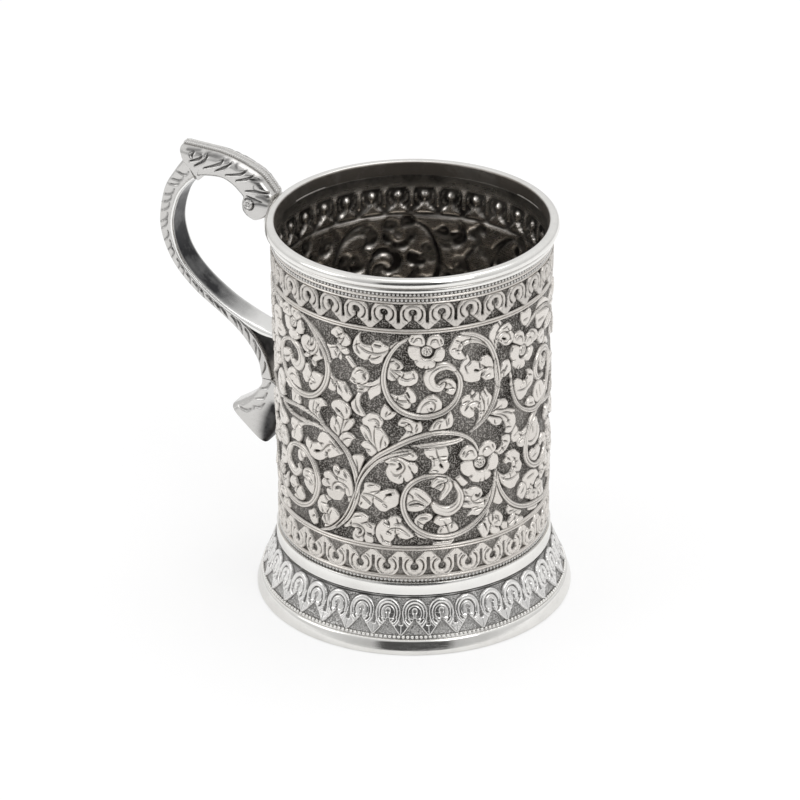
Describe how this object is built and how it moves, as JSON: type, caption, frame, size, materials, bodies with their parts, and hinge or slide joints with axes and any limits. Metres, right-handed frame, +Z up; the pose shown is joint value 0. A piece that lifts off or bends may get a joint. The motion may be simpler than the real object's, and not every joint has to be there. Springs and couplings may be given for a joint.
{
  "type": "silver tankard",
  "caption": "Handled drinking tankard in chased silver: a straight drum on a spreading foot, with a scroll handle that rises to a bird's head at the rim.",
  "frame": {"origin": "on the table, under the middle of the whole object's box, handle included", "axes": "+Z up along the drum's axis, handle towards -X, and the XZ plane is the plane of symmetry"},
  "size_m": [0.135, 0.099, 0.1364],
  "materials": {
    "polished_silver": "polished, with fine scratches",
    "chased_silver": "chased in relief, bright on the high places and oxidised grey-brown in the ground"
  },
  "bodies": {
    "root": {"drum": "chased_silver", "base_plate": "polished_silver", "rim": "polished_silver", "collar": "polished_silver", "foot_skirt": "chased_silver", "foot_ring": "polished_silver", "handle_scroll": "chased_silver", "handle_strap": "polished_silver", "handle_tail": "chased_silver", "bird_neck": "chased_silver", "neck_crest": "chased_silver"}
  },
  "joints": []
}
